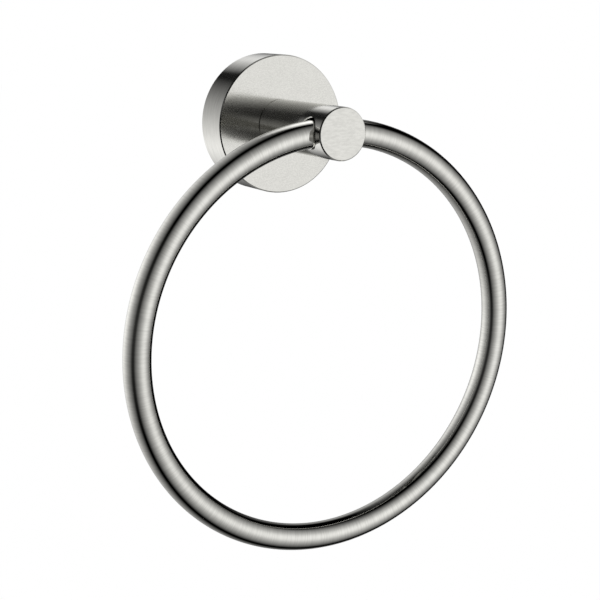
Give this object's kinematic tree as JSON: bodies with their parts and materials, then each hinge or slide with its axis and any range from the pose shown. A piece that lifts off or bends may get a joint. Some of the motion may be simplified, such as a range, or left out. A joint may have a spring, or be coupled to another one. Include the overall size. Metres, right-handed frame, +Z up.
{
  "type": "towel ring",
  "caption": "Wall-mounted towel ring: a round escutcheon and a plain round post carry an open ring of round tube that swings in the post's cross hole.",
  "frame": {"origin": "on the wall plane, at the middle of the escutcheon, where the post's axis meets the wall", "axes": "+Y points into the wall, so the object stands out towards -Y; +Z up; +X to the right as seen from the front"},
  "size_m": [0.1556, 0.0575, 0.1758],
  "materials": {
    "brushed_nickel": "brushed nickel, satin",
    "zinc_bracket": "plain cast zinc",
    "screw_steel": "plain stainless steel"
  },
  "bodies": {
    "wall_mount": {"wall_bracket": "zinc_bracket", "escutcheon": "brushed_nickel", "post": "brushed_nickel", "post_screw": "screw_steel", "post_washer": "screw_steel", "set_screw": "screw_steel"},
    "ring": {"ring": "brushed_nickel"}
  },
  "joints": [
    {"name": "ring_swing", "type": "hinge", "parent": "wall_mount", "child": "ring", "pos_m": [0, -0.049, -0.0002], "axis": [-1, 0, 0], "range_deg": [-17.3, 197.3]}
  ]
}
